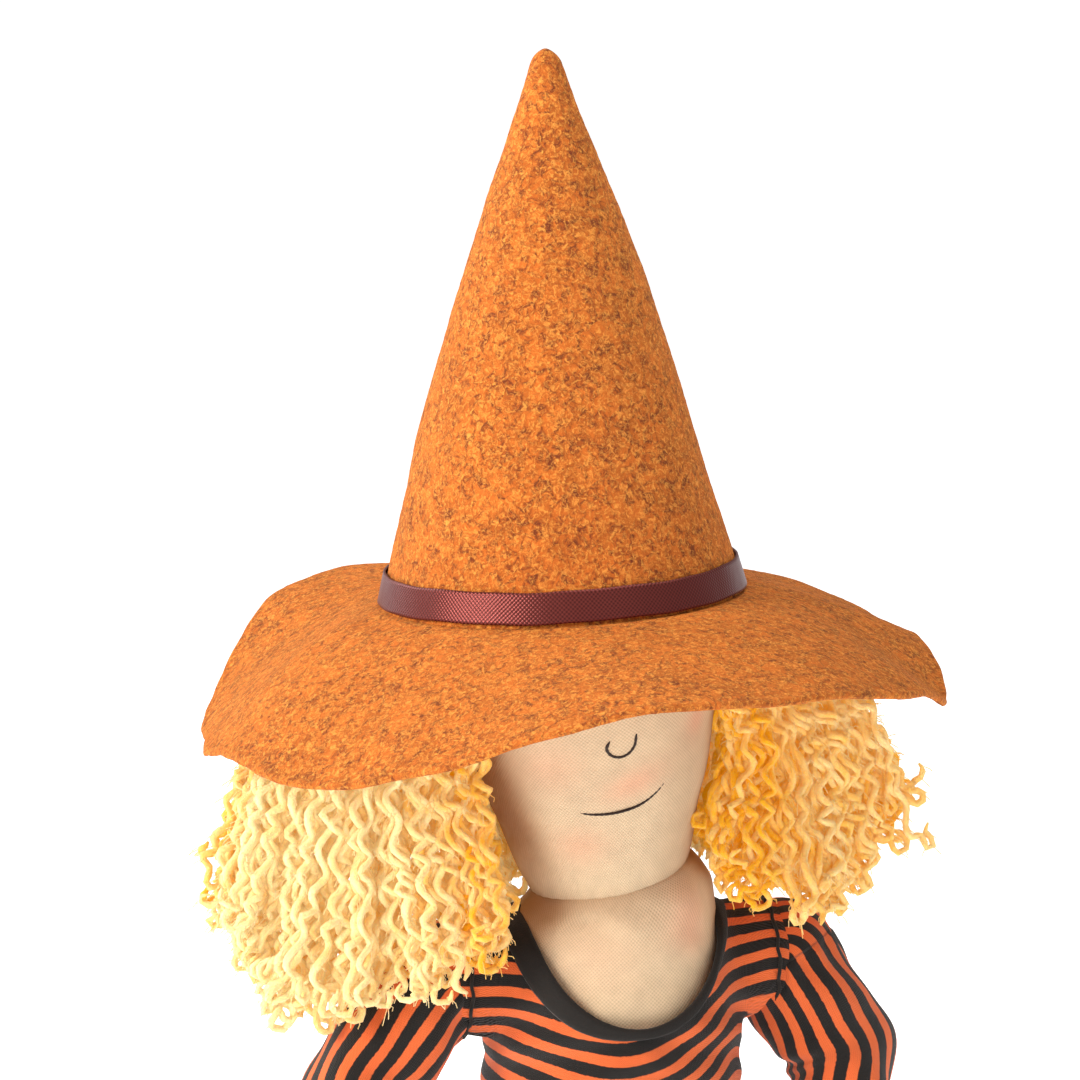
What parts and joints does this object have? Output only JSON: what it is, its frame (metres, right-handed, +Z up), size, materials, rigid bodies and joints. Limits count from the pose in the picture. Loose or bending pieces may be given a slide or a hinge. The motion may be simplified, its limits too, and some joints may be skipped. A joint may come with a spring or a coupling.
{
  "type": "hand puppet",
  "caption": "Cloth witch hand puppet with a stuffed head, crinkled wool hair, striped dress, jointed arms and a tall felt hat.",
  "frame": {"origin": "centre of the hand opening in the hem", "axes": "+Z up through the hand opening and the neck; the doll faces -Y; its own right side is at -X"},
  "size_m": [0.2352, 0.2361, 0.4863],
  "materials": {
    "muslin": "matte woven cotton",
    "skin_muslin": "matte plain-weave cotton",
    "wadding": "fluffy",
    "striped_jersey": "matte knitted jersey in orange and black stripes",
    "black_binding": "matte",
    "card": "matte",
    "dark_thread": "twisted thread",
    "wool_yarn": "crinkled wool",
    "yarn_stitching": "twisted thread",
    "orange_felt": "matte wool felt",
    "satin_ribbon": "satin ribbed ribbon"
  },
  "bodies": {
    "glove": {"wrist_facing": "muslin", "glove_lining": "muslin", "chest_skin": "skin_muslin", "neck_padding": "wadding", "dress_front": "striped_jersey", "dress_back": "striped_jersey", "hem_band": "striped_jersey", "neckline_binding": "black_binding"},
    "neck_lower": {"neck_roll_lower": "wadding"},
    "neck_upper": {"neck_roll_upper": "wadding"},
    "head": {"head_skin": "skin_muslin", "head_stuffing": "wadding", "head_finger_tube": "card", "nose_stitch": "dark_thread", "mouth_stitch": "dark_thread", "right_eye_stitch": "dark_thread", "left_eye_stitch": "dark_thread", "hair_crown": "wool_yarn", "parting_stitch": "yarn_stitching", "hair_back": "wool_yarn", "hair_left": "wool_yarn", "hair_right": "wool_yarn"},
    "hat": {"hat_brim": "orange_felt", "hat_cone": "orange_felt", "hat_ribbon": "satin_ribbon", "hat_ribbon_lap": "satin_ribbon", "hat_sweatband": "satin_ribbon"},
    "right_shoulder": {"right_arm_root": "wadding"},
    "right_upper_arm": {"right_upper_sleeve": "striped_jersey", "right_finger_stall": "muslin"},
    "right_lower_arm": {"right_forearm_stuffing": "wadding", "right_forearm_sleeve": "striped_jersey", "right_cuff": "black_binding", "right_hand": "skin_muslin"},
    "left_shoulder": {"left_arm_root": "wadding"},
    "left_upper_arm": {"left_upper_sleeve": "striped_jersey", "left_finger_stall": "muslin"},
    "left_lower_arm": {"left_forearm_stuffing": "wadding", "left_forearm_sleeve": "striped_jersey", "left_cuff": "black_binding", "left_hand": "skin_muslin"}
  },
  "joints": [
    {"name": "head_turn", "type": "hinge", "parent": "glove", "child": "neck_lower", "pos_m": [-0.004, 0, 0.24], "axis": [0, 0, 1], "range_deg": [-20, 20], "deforming": ["hair_left", "hair_right"]},
    {"name": "head_tilt", "type": "hinge", "parent": "neck_lower", "child": "neck_upper", "pos_m": [-0.004, 0, 0.24], "axis": [0, 1, 0], "range_deg": [-10, 10]},
    {"name": "head_nod", "type": "hinge", "parent": "neck_upper", "child": "head", "pos_m": [-0.004, 0, 0.24], "axis": [1, 0, 0], "range_deg": [-10, 12]},
    {"name": "hat_lift", "type": "slide", "parent": "head", "child": "hat", "axis": [-0.05, 0.012, 0.9987], "range_m": [0, 0.07]},
    {"name": "right_arm_swing", "type": "hinge", "parent": "glove", "child": "right_shoulder", "pos_m": [-0.058, 0, 0.19], "axis": [-1, 0, 0], "range_deg": [-15, 45]},
    {"name": "right_arm_raise", "type": "hinge", "parent": "right_shoulder", "child": "right_upper_arm", "pos_m": [-0.058, 0, 0.19], "axis": [0, 1, 0], "range_deg": [-8, 65]},
    {"name": "right_elbow_bend", "type": "hinge", "parent": "right_upper_arm", "child": "right_lower_arm", "pos_m": [-0.085, -0.006, 0.16], "axis": [-1, 0, 0], "range_deg": [0, 60]},
    {"name": "left_arm_swing", "type": "hinge", "parent": "glove", "child": "left_shoulder", "pos_m": [0.058, 0, 0.19], "axis": [-1, 0, 0], "range_deg": [-15, 45]},
    {"name": "left_arm_raise", "type": "hinge", "parent": "left_shoulder", "child": "left_upper_arm", "pos_m": [0.058, 0, 0.19], "axis": [0, -1, 0], "range_deg": [0, 70]},
    {"name": "left_elbow_bend", "type": "hinge", "parent": "left_upper_arm", "child": "left_lower_arm", "pos_m": [0.076, -0.008, 0.156], "axis": [-1, 0, 0], "range_deg": [0, 60]}
  ]
}
